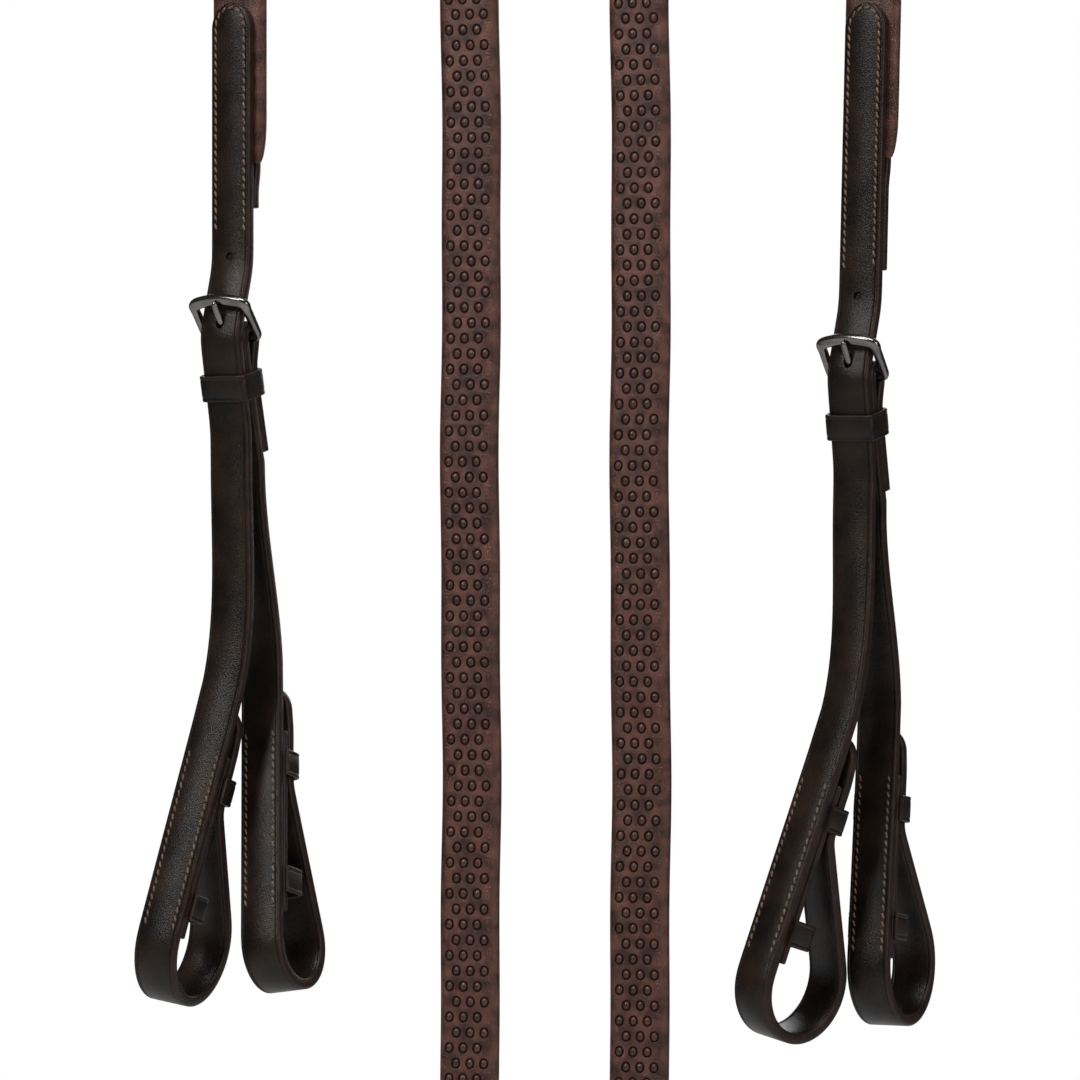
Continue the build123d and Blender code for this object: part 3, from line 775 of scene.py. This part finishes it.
def grip(name, stations, smooth, phase):
    """Rubber grip, smooth beside the strap tip and pimpled on both faces from there on."""
    track = track_of(stations)
    total = track.length[-1]
    half_step = PIMPLE_ROW / 4
    bare_rows = 2 * ceil((smooth - GRIP_TAPER - phase) / PIMPLE_ROW / 2)
    first = GRIP_TAPER + phase + bare_rows * PIMPLE_ROW
    rows = int((total - first - GRIP_TAIL) / PIMPLE_ROW)
    field = first, first + rows * PIMPLE_ROW
    reach = 1.75 * PIMPLE_PITCH
    points, faces, kinds = [], [], []

    def add(u, along, side, lift, new_faces, new_kinds, turned):
        base = sum(len(p) for p in points)
        points.append(read_track(track, np.asarray(u) / (GRIP_WIDTH / 2), np.asarray(along),
                                 side, np.asarray(lift)))
        for face in new_faces:
            face = [base + i for i in face]
            faces.append(face[::-1] if turned else face)
        kinds.extend(new_kinds)

    whole = pimple(PIMPLE_PITCH / 2, WHOLE_STRENGTH)
    partial = pimple(PIMPLE_PITCH / 4, PARTIAL_STRENGTH)
    for row in range(rows):
        middle = field[0] + (row + 0.5) * PIMPLE_ROW
        shift = PIMPLE_PITCH / 4 * (1 if row % 2 else -1)
        cells = [(shift + k * PIMPLE_PITCH, whole) for k in (-1, 0, 1)]
        cells.append((-(reach - PIMPLE_PITCH / 4) * (1 if row % 2 else -1), partial))
        for side in (1, -1):
            for centre, (cell, cell_faces, cell_kinds) in cells:
                add(cell[:, 0] + centre + PIMPLE_SHIFT, cell[:, 1] + middle, side, cell[:, 2],
                    cell_faces, cell_kinds, side < 0)

    lengths = np.concatenate([GRIP_TAPER * np.linspace(0, 1, 12)[:-1] ** 1.5,
                              np.linspace(GRIP_TAPER, field[0], 30)[:-1],
                              field[0] + half_step * np.arange(4 * rows + 1),
                              np.linspace(field[1], total, 7)[1:]])
    edge = [GRIP_WIDTH / 2 - inset for inset in (0.65, 0.32, 0.13, 0.03, 0)]
    for sign in (1, -1):
        front = [(sign * u, 1) for u in (reach + sign * PIMPLE_SHIFT, *edge)]
        around = front + [(u, -1) for u, _ in front[-2::-1]]
        for (u_a, side_a), (u_b, side_b) in zip(around, around[1:]):
            n = len(lengths)
            sides = np.concatenate([np.full(n, side_a), np.full(n, side_b)])
            grid = [(i, n + i, n + i + 1, i + 1) for i in range(n - 1)]
            add(np.concatenate([np.full(n, u_a), np.full(n, u_b)]), np.tile(lengths, 2), sides,
                np.zeros(2 * n), grid, [0] * (n - 1), sign < 0)
    ends = [lengths[lengths <= field[0] + 1e-6], lengths[lengths >= field[1] - 1e-6]]
    columns = np.arange(-7, 7.1) * PIMPLE_PITCH / 4 + PIMPLE_SHIFT
    for stretch in ends:
        for side in (1, -1):
            wide, long = len(columns), len(stretch)
            u, along = np.meshgrid(columns, stretch)
            grid = [(r * wide + c, r * wide + c + 1, (r + 1) * wide + c + 1, (r + 1) * wide + c)
                    for r in range(long - 1) for c in range(wide - 1)]
            add(u.ravel(), along.ravel(), side, np.zeros(u.size), grid, [0] * len(grid), side < 0)

    # The third material paints the pimple grooves near-black as shade
    obj = as_object(name, np.concatenate(points), faces, kinds, [RUBBER, DOME, GROOVE_PAINTED_SHADE], 75)
    shape = bmesh.new()
    shape.from_mesh(obj.data)
    bmesh.ops.remove_doubles(shape, verts=shape.verts, dist=0.006 * MM)
    open_edges = [e for e in shape.edges if e.is_boundary]
    bmesh.ops.holes_fill(shape, edges=open_edges, sides=0)
    shape.to_mesh(obj.data)
    shape.free()
    return obj


# ---------------------------------------------------------------- small pieces

def walked(line, pitch):
    """Evenly spaced points and directions along a line."""
    spots, covered, target = [], 0.0, pitch / 2
    for before, after in zip(line, line[1:]):
        gap = (after - before).length
        while target <= covered + gap:
            spots.append((before.lerp(after, (target - covered) / gap),
                          (after - before).normalized()))
            target += pitch
        covered += gap
    return spots


def stitches(name, place, face_x, lines, outward=1):
    """Slanted stitches on a flat face, with a dark disc of painted shade at each end for its
    hole;
    lines hold (down, across).
    """
    points, faces, kinds = [], [], []
    out = place.forward * outward
    steps, count = (-1, -0.85, -0.45, 0, 0.45, 0.85, 1), 8
    slant = radians(STITCH_SLANT) * outward
    for line in lines:
        for spot, way in walked(line, STITCH_PITCH):
            turned = Vector((way.x * cos(slant) - way.y * sin(slant),
                             way.x * sin(slant) + way.y * cos(slant)))
            along = place.down * turned.x + place.across * turned.y
            aside = out.cross(along)
            centre = place.at(face_x, spot.x, spot.y)
            base = len(points)
            for t in steps:
                girth = sqrt(max(0.04, 1 - t ** 4))
                for k in range(count):
                    a = 2 * pi * k / count
                    points.append(centre + along * (t * STITCH_HALF_LENGTH)
                                  + aside * (STITCH_HALF_WIDTH * girth * cos(a))
                                  + out * (STITCH_HALF_HEIGHT * girth * sin(a)
                                           + 0.06 - 0.18 * t * t))
            for i in range(len(steps) - 1):
                for k in range(count):
                    m = (k + 1) % count
                    faces.append((base + i * count + k, base + i * count + m,
                                  base + (i + 1) * count + m, base + (i + 1) * count + k))
                    kinds.append(0)
            # A flat near-black disc just off the face at each end: painted shade standing in for
            # the hole
            for t in (-HOLE_SHADE_OUT, HOLE_SHADE_OUT):
                base = len(points)
                points += [centre + along * (t + HOLE_SHADE_RADIUS * cos(2 * pi * k / count))
                           + aside * (HOLE_SHADE_RADIUS * sin(2 * pi * k / count)) + out * 0.02
                           for k in range(count)]
                faces.append(tuple(base + k for k in range(count)))
                kinds.append(1)
    return as_object(name, points, faces, kinds, [THREAD, PAINTED_HOLE_SHADE], 60)


def tip_line(tip_drop, end_drop):
    """Stitch line of a strap end: up one side, round the tip and down the other."""
    half = STRAP_WIDTH / 2 - STITCH_INSET - 0.3
    middle = tip_drop + TIP_LENGTH
    reach = TIP_LENGTH - STITCH_INSET
    arc = [Vector((middle - reach * sin(a), -half * cos(a))) for a in turns(pi, 40)]
    return [Vector((end_drop, -half)), *arc, Vector((end_drop, half))]


def band(name, place, path, closed):
    """Leather band that stands on edge round a path of (forward, across) points."""
    line = [Vector(p) for p in path]
    line = dense([*line, line[0]] if closed else line, BAND_STEP)
    if closed:
        line = softened_ring(line[:-1], BAND_ROUNDS)
        before, after = [line[-1], *line[:-1]], [*line[1:], line[0]]
    else:
        line = softened(line, BAND_ROUNDS)
        before, after = [line[0], *line[:-1]], [*line[1:], line[-1]]
    stations = []
    for point, a, b in zip(line, before, after):
        way = (b - a).normalized()
        stations.append(Station(place.at(point.x, 0, point.y), place.down,
                                place.forward * -way.y + place.across * way.x,
                                KEEPER_HEIGHT / 2, KEEPER_WALL / 2))
    return swept(name, stations, leather_section, leather_kinds(), [LEATHER, EDGE], closed)


def leg_keeper(name, place, depth, drop):
    """Keeper sewn in behind a leg, open towards it."""
    wall = KEEPER_WALL / 2
    side = STRAP_WIDTH / 2 + KEEPER_SLACK + wall
    back = -BILLET_THICK / 2 - BACKING_THICK - depth - wall
    front = -BILLET_THICK / 2 - 0.3
    level = place._replace(origin=place.at(0, drop))
    return band(name, level, [(front, -side), (back, -side), (back, side), (front, side)], False)


def strap_loop(name, bar, depth, lean, forward):
    """Keeper loop below a buckle."""
    back = radians(lean)
    level = Place(bar.at(forward, KEEPER_DROP), bar.forward * cos(back) + bar.down * sin(back),
                  bar.down * cos(back) - bar.forward * sin(back), bar.across)
    side = STRAP_WIDTH / 2 + KEEPER_SLACK + KEEPER_WALL / 2
    deep = depth / 2 + KEEPER_WALL / 2
    return band(name, level, [(deep, -side), (-deep, -side), (-deep, side), (deep, side)], True)


def frame_place(bar):
    """Axes of a buckle frame: forward out of it, down along the tongue, across the bar."""
    lean = radians(FRAME_LEAN)
    return Place(bar.origin, bar.forward * cos(lean) + bar.down * sin(lean),
                 bar.forward * sin(lean) - bar.down * cos(lean), bar.across)


def buckle_frame(name, bar):
    """Frame with rounded sides, a broad bowed top bar and a round bar for the strap."""
    place = frame_place(bar)
    top = [(FRAME_HALF * (k / 8 - 1), FRAME_TOP + FRAME_BOW * (1 - (k / 8 - 1) ** 2))
           for k in range(17)]
    line = dense([(-FRAME_HALF, 0), *top, (FRAME_HALF, 0), (-FRAME_HALF, 0)], BAND_STEP)[:-1]
    line = softened_ring(line, FRAME_ROUNDS)
    stations = []
    for point, a, b in zip(line, [line[-1], *line[:-1]], [*line[1:], line[0]]):
        way = (b - a).normalized()
        out = Vector((-way.y, way.x))
        broad = eased(min(1, max(0, (point.y - TOP_BAR_START) / TOP_BAR_EASE)))
        stations.append(Station(place.origin + place.across * point.x + place.down * point.y,
                                place.across * out.x + place.down * out.y, place.forward,
                                FRAME_HALF_WIDTH + TOP_BAR_EXTRA * broad, FRAME_HALF_THICK))
    return swept(name, stations, round_section, None, [STEEL], True, 70)


def buckle_tongue(name, bar):
    """Round tongue: an eye round the bar, a straight pin and a tip that rests on the frame."""
    place = frame_place(bar)
    ring = BAR_RADIUS + BAR_SLACK + TONGUE_RADIUS * 0.9
    line = [(ring * cos(a), ring * sin(a)) for a in (radians(d) for d in range(-310, 1, 10))]
    line += [(TONGUE_HEIGHT, 2.5), (TONGUE_HEIGHT, 11.5), (2.75, 15.0),
             (2.55, TONGUE_LENGTH + 0.3)]
    stations = flat_stations(place, line, 0, rounds=2, step=TONGUE_STEP)
    total = len(stations)
    shaped = []
    for k, s in enumerate(stations):
        left = (total - 1 - k) * TONGUE_STEP
        girth = TONGUE_RADIUS * min(0.9, 0.72 + left * 0.02) * min(1, 0.45 + left * 0.5)
        shaped.append(s._replace(half_width=girth * TONGUE_WIDER,
                                 half_thick=girth * TONGUE_THINNER))
    return swept(name, shaped, tube_section, None, [STEEL], False, 70)


def hook_stud(name, place):
    """Stud on a round foot, whose head turns up towards the upper keeper."""
    foot = -BILLET_THICK / 2 - BACKING_THICK
    line = [(foot + 0.2, STUD_DROP), (foot - STUD_NECK, STUD_DROP),
            (foot - STUD_REACH + 1.0, STUD_DROP - 1.2),
            (foot - STUD_REACH + 0.9, STUD_DROP - STUD_RISE)]
    stations = flat_stations(place, line, 0, rounds=3, step=STUD_STEP)
    last = len(stations) - 1
    shaped = []
    for k, s in enumerate(stations):
        share = k / last
        close = min(1, 0.35 + (last - k) * 0.22)
        shaped.append(s._replace(half_width=(1.4 + 1.0 * eased(min(1, share * 1.6))) * close,
                                 half_thick=(1.35 - 0.5 * eased(share)) * close))
    return swept(name, shaped, round_section, None, [STEEL], False, 70)


def stud_foot(name, place):
    """Round foot of a stud, rounded over on its outer face."""
    foot = -BILLET_THICK / 2 - BACKING_THICK
    rings = [(0.0, 3.3), (-0.5, 3.25), (-0.85, 2.8), (-1.0, 1.8)]
    stations = [Station(place.at(foot + x, STUD_DROP), place.down, place.across, r, r)
                for x, r in rings]
    return swept(name, stations, tube_section, None, [STEEL], False, 50)


# ---------------------------------------------------------------- the reins

def show(obj, body, slot, *nodes):
    """Fix a finished piece to its body and hide the CAD nodes it stands for."""
    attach(obj, body)
    if nodes:
        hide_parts(*nodes)


def flex(obj, body_a, body_b, place, drop, *nodes):
    """Bake a strap's placement into its mesh and hide the CAD nodes it stands for."""
    tuple(place.at(0, drop - BLEND_HALF) * MM)
    tuple(place.at(0, drop + BLEND_HALF) * MM)
    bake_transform(obj)
    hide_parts(*nodes)


grip_face = GRIP_THICK / 2 - BAR_FORWARD
billet_face = grip_face + BILLET_THICK
rein_face = REIN_THICK / 2 - BAR_FORWARD
centre = centre_bar()

for end in ENDS:
    side = end.side
    bar = end_bar(end)
    tongue_way = frame_place(bar)
    middle_x = end.sign * (ARCH_CENTRE_X - ARCH_RADIUS)

    show(grip(f"{side}_pimple_grip", grip_route(end), end.grip_drop - end.tip_drop,
              GRIP_PHASE[side]), "reins", "rubber", f"{side}_rubber_grip")

    core = flat_stations(bar, [(rein_face, end.grip_drop - CORE_OVERLAP),
                               (rein_face, end.grip_drop + CORE_STEP_TOP),
                               (grip_face, end.grip_drop + CORE_STEP_FOOT),
                               (grip_face, end.core_drop)], REIN_THICK, rounds=4)
    show(strap(f"{side}_core_end", bevelled(core)), "reins", "leather", f"{side}_rein_strap")

    # Front strap down to its bit loop
    front_leg, rear_leg = [leg_place(end, leg) for leg in end.legs]
    front = flat_stations(bar, [(billet_face, end.tip_drop), (billet_face, FRONT_LEAD_DROP),
                                (FRONT_PEAK, -1), (FRONT_PEAK, 1),
                                (FRONT_REST, FRONT_REST_DROP),
                                (FRONT_AT_FLEX, LEG_FLEX_DROP)], BILLET_THICK)
    split = next(k for k, s in enumerate(front)
                 if (s.point - bar.origin).dot(bar.down) > KEEPER_DROP)
    lower = (front[split:]
             + drape(bar.at(FRONT_AT_FLEX - BILLET_THICK / 2, LEG_FLEX_DROP), bar, front_leg)
             + flat_stations(front_leg, loop_face(end.legs[0]), BILLET_THICK, rounds=5))
    upper = strap(f"{side}_front_strap_upper", with_tip(front[:split + 1], True))
    cut(upper, bar.at(billet_face, FRONT_HOLE_DROP), bar.across, bar.down,
        (PUNCH_RADIUS, PUNCH_RADIUS, PUNCH_DEPTH))
    cut(upper, tongue_way.at(TONGUE_HEIGHT, SLOT_DROP), bar.across, tongue_way.forward,
        BRANCH_SLOT)
    flex(upper, "reins", f"{side}_bit_end", bar, END_FLEX_DROP,
         f"{side}_front_strap_top", f"{side}_front_strap_middle")
    flex(strap(f"{side}_front_strap_lower", with_tip(lower, False)), f"{side}_bit_end",
         f"{side}_front_leg", bar, LEG_FLEX_DROP, f"{side}_front_leg_strap")

    # Rear strap, folded round the bar, down to its bit loop
    rear = (flat_stations(bar, [*fold_face(BILLET_THICK, FOLD_LEAN),
                                (REAR_AT_FLEX + BILLET_THICK / 2, LEG_FLEX_DROP)],
                          BILLET_THICK, rounds=2)
            + drape(bar.at(REAR_AT_FLEX, LEG_FLEX_DROP), bar, rear_leg)
            + flat_stations(rear_leg, loop_face(end.legs[1]), BILLET_THICK, rounds=5))
    rear_strap = strap(f"{side}_rear_strap", with_tip(bevelled(rear, finish=False), False))
    cut(rear_strap, bar.at(*FOLD_SLOT_AT), bar.forward, bar.down, FOLD_SLOT, False)
    flex(rear_strap, f"{side}_bit_end", f"{side}_rear_leg", bar, LEG_FLEX_DROP,
         f"{side}_rear_strap_top", f"{side}_rear_leg_strap")

    show(stitches(f"{side}_tip_stitches", bar, billet_face,
                  [tip_line(end.tip_drop, STITCH_END_DROP)]), "reins", "leather")
    show(strap_loop(f"{side}_branch_loop", bar, BRANCH_KEEPER_DEPTH, BRANCH_KEEPER_LEAN,
                    BRANCH_KEEPER_FORWARD), f"{side}_bit_end", "leather",
         f"{side}_branch_keeper")
    show(buckle_frame(f"{side}_branch_frame_piece", bar), f"{side}_branch_frame", "steel",
         f"{side}_branch_buckle_frame")
    show(buckle_tongue(f"{side}_branch_tongue_piece", bar), f"{side}_branch_tongue", "steel",
         f"{side}_branch_buckle_tongue")

    for leg, place in zip(end.legs, (front_leg, rear_leg)):
        name = f"{side}_{leg.name}"
        body = f"{name}_leg"
        back = -BILLET_THICK / 2
        layer = flat_stations(place, [(back, STITCH_TOP), (back, STITCH_TOP + STITCH_LENGTH)],
                              BACKING_THICK, rounds=0)
        show(strap(f"{name}_second_layer", bevelled(layer)), body, "backing",
             f"{name}_leg_backing")
        rows = [[Vector((STITCH_TOP + STITCH_MARGIN, z)),
                 Vector((STITCH_TOP + STITCH_LENGTH - STITCH_MARGIN, z))]
                for z in (-LEG_STITCH_OUT, LEG_STITCH_OUT)]
        show(stitches(f"{name}_front_stitches", place, BILLET_THICK / 2, rows), body, "leather")
        show(stitches(f"{name}_back_stitches", place, back - BACKING_THICK, rows, -1), body,
             "leather")
        show(leg_keeper(f"{name}_top_loop", place, UPPER_KEEPER_DEPTH, UPPER_KEEPER), body,
             "leather", f"{name}_upper_keeper")
        show(leg_keeper(f"{name}_low_loop", place, LOWER_KEEPER_DEPTH, LOWER_KEEPER), body,
             "leather", f"{name}_lower_keeper")
        show(hook_stud(f"{name}_stud_hook", place), body, "steel", f"{name}_hook_stud")
        show(stud_foot(f"{name}_stud_foot", place), body, "steel")

    # Hand part, down to the centre buckle
    half = REIN_THICK / 2
    bare = ((middle_x, GRIP_END_Z + CORE_OVERLAP, MIDDLE_YAW),
            (middle_x, HAND_TWIST_TOP_Z, MIDDLE_YAW))
    turn = bare[1], (middle_x, HAND_TWIST_END_Z, -90 * end.sign)
    top = HAND_TWIST_END_Z - CENTRE_BUCKLE_Z
    flip = end.sign
    hanging = (twisted(*bare, STRAP_WIDTH / 2, half, flip)
               + twisted(*turn, STRAP_WIDTH / 2, half, flip)[1:])
    if end.side == "left":
        fold = flat_stations(centre, [*fold_face(REIN_THICK, 0), (REIN_THICK, top)], REIN_THICK,
                             rounds=2)
        hand = strap("left_hand_strap", bevelled(fold[:-1] + hanging[::-1]))
        cut(hand, centre.at(*FOLD_SLOT_AT), centre.forward, centre.down, FOLD_SLOT, False)
    else:
        far = centre.origin.x - middle_x - half
        radius = (BILLET_LEAD - far) / 2
        arc = [((BILLET_LEAD + far) / 2 - radius * cos(a), BILLET_TURN_DROP - radius * sin(a))
               for a in turns(pi, 40)]
        turn_up = flat_stations(
            centre, [(far, top), *arc, (BILLET_LEAD, BILLET_LEAD_DROP),
                     (BILLET_PEAK, -BILLET_PEAK_HALF), (BILLET_PEAK, BILLET_PEAK_HALF),
                     (BILLET_REST, BILLET_REST_DROP), (BILLET_REST, BILLET_TIP_DROP)],
            REIN_THICK, rounds=6)
        hand = strap("right_hand_strap", with_tip(bevelled(hanging + turn_up[1:], finish=False),
                                                  False))
        for drop in BILLET_HOLE_DROPS:
            cut(hand, centre.at(BILLET_REST, drop), centre.across, centre.down,
                (BILLET_HOLE_RADIUS, BILLET_HOLE_RADIUS, THROUGH))
        pin = frame_place(centre)
        cut(hand, pin.at(TONGUE_HEIGHT, SLOT_DROP), centre.across, pin.forward, CENTRE_SLOT)
    show(hand, "reins", "leather", f"{side}_rein_strap")

show(buckle_frame("centre_frame_piece", centre), "centre_frame", "steel", "centre_buckle_frame")
show(buckle_tongue("centre_tongue_piece", centre), "centre_tongue", "steel",
     "centre_buckle_tongue")
show(strap_loop("centre_loop", centre, CENTRE_KEEPER_DEPTH, 0, CENTRE_KEEPER_FORWARD), "reins",
     "leather", "centre_keeper")


# ---------------------------------------------------------------- floor, light and camera

floor_mesh = bpy.data.meshes.new("floor")
floor_z = cad_low.z - FLOOR_GAP
floor_mesh.from_pydata([(x * FLOOR_HALF, y * FLOOR_HALF, floor_z)
                        for x, y in ((-1, -1), (1, -1), (1, 1), (-1, 1))], [], [(0, 1, 2, 3)])
pale = finished("pale_floor", tint(232, 232, 232), tint(240, 240, 240), (0.8, 0.9), 2, 60, 0.02,
                Emission_Color=tint(222, 222, 222))
floor_nodes, floor_links = pale.node_tree.nodes, pale.node_tree.links
floor_links.new(floor_nodes.new("ShaderNodeLightPath").outputs["Is Camera Ray"],
                floor_nodes["Principled BSDF"].inputs["Emission Strength"])
floor_mesh.materials.append(pale)
floor = bpy.data.objects.new("floor", floor_mesh)
bpy.context.scene.collection.objects.link(floor)

world = bpy.data.worlds.new("studio")
bpy.context.scene.world = world
world.use_nodes = True
nodes, links = world.node_tree.nodes, world.node_tree.links
ambient = nodes["Background"]
ambient.inputs["Color"].default_value = (1, 1, 1, 1)
ambient.inputs["Strength"].default_value = 0.06
backdrop = nodes.new("ShaderNodeBackground")
backdrop.inputs["Color"].default_value = (1, 1, 1, 1)
backdrop.inputs["Strength"].default_value = 1.0
seen = nodes.new("ShaderNodeLightPath")
chosen = nodes.new("ShaderNodeMixShader")
links.new(seen.outputs["Is Camera Ray"], chosen.inputs["Fac"])
links.new(ambient.outputs["Background"], chosen.inputs[1])
links.new(backdrop.outputs["Background"], chosen.inputs[2])
links.new(chosen.outputs["Shader"], nodes["World Output"].inputs["Surface"])


def softbox(name, place, target, size, power):
    """Rectangular area light aimed at a point."""
    light = bpy.data.lights.new(name, "AREA")
    light.shape = "RECTANGLE"
    light.size, light.size_y = size
    light.energy = power
    obj = bpy.data.objects.new(name, light)
    bpy.context.scene.collection.objects.link(obj)
    obj.location = place
    obj.rotation_mode = "QUATERNION"
    obj.rotation_quaternion = (Vector(target) - Vector(place)).to_track_quat("-Z", "Y")


softbox("key", (-1.1, -1.3, 0.9), (0, 0, -0.3), (0.4, 0.9), 20)
softbox("fill", (1.4, -1.2, 0.3), (0, 0, -0.4), (0.3, 1.0), 9)
softbox("top", (0.0, -0.6, 1.3), (0, 0, -0.3), (0.9, 0.5), 14)
softbox("back", (0.3, 1.8, 0.3), (0, 0, -0.35), (1.6, 1.2), 14)

camera_data = bpy.data.cameras.new("camera")
camera_data.lens = 140
camera_data.sensor_width = 36
camera_data.clip_end = 50
camera = bpy.data.objects.new("camera", camera_data)
bpy.context.scene.collection.objects.link(camera)
camera.location = (-0.00554, -1.5, -0.30786)
camera.rotation_euler = (pi / 2, 0, 0)
bpy.context.scene.camera = camera
bpy.context.scene.view_settings.view_transform = "Standard"
